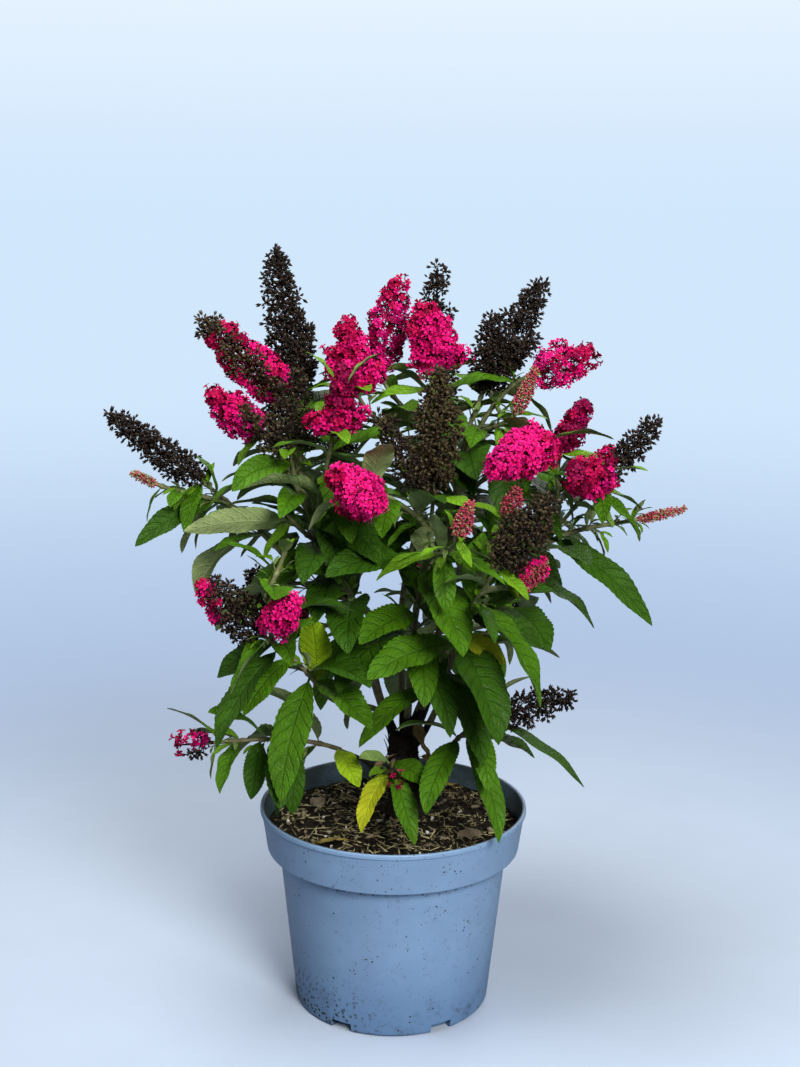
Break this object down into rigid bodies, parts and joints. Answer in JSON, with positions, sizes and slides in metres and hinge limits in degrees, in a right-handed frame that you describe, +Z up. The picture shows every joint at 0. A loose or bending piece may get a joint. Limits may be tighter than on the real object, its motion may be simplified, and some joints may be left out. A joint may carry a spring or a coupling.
{
  "type": "potted butterfly bush",
  "caption": "Flowering shrub in a plastic growing pot: a short woody stump, boughs that rise from it, and masses of leafy twigs that end in flower heads.",
  "frame": {"origin": "centre of the pot's flat underside", "axes": "+Z up the plant, +X to its right and +Y to its back as it is seen from the front"},
  "size_m": [0.469, 0.3575, 0.638],
  "materials": {
    "pot": "smooth moulded plastic, a little dusty",
    "soil": "loose fibrous compost",
    "bark": "ridged bark",
    "foliage": "quilted matt leaves and clustered florets"
  },
  "bodies": {
    "root": {"pot": "pot", "soil": "soil", "stump": "bark", "bough_left_up": "bark", "bough_left_low": "bark", "bough_left_long": "bark", "bough_centre": "bark", "bough_right_mid": "bark", "bough_right_low": "bark", "bough_front_low": "bark", "bough_left_twig": "bark", "bough_top": "bark", "bough_right_up": "bark", "bough_right_outer": "bark", "bough_back_left": "bark", "bough_back_right": "bark", "bough_back_low": "bark", "foliage_left_up": "foliage", "foliage_left_low": "foliage", "foliage_left_long": "foliage", "foliage_centre": "foliage", "foliage_right_mid": "foliage", "foliage_right_low": "foliage", "foliage_front_low": "foliage", "foliage_left_twig": "foliage", "foliage_top": "foliage", "foliage_right_up": "foliage", "foliage_right_outer": "foliage", "foliage_back_left": "foliage", "foliage_back_right": "foliage", "foliage_back_low": "foliage"}
  },
  "joints": []
}
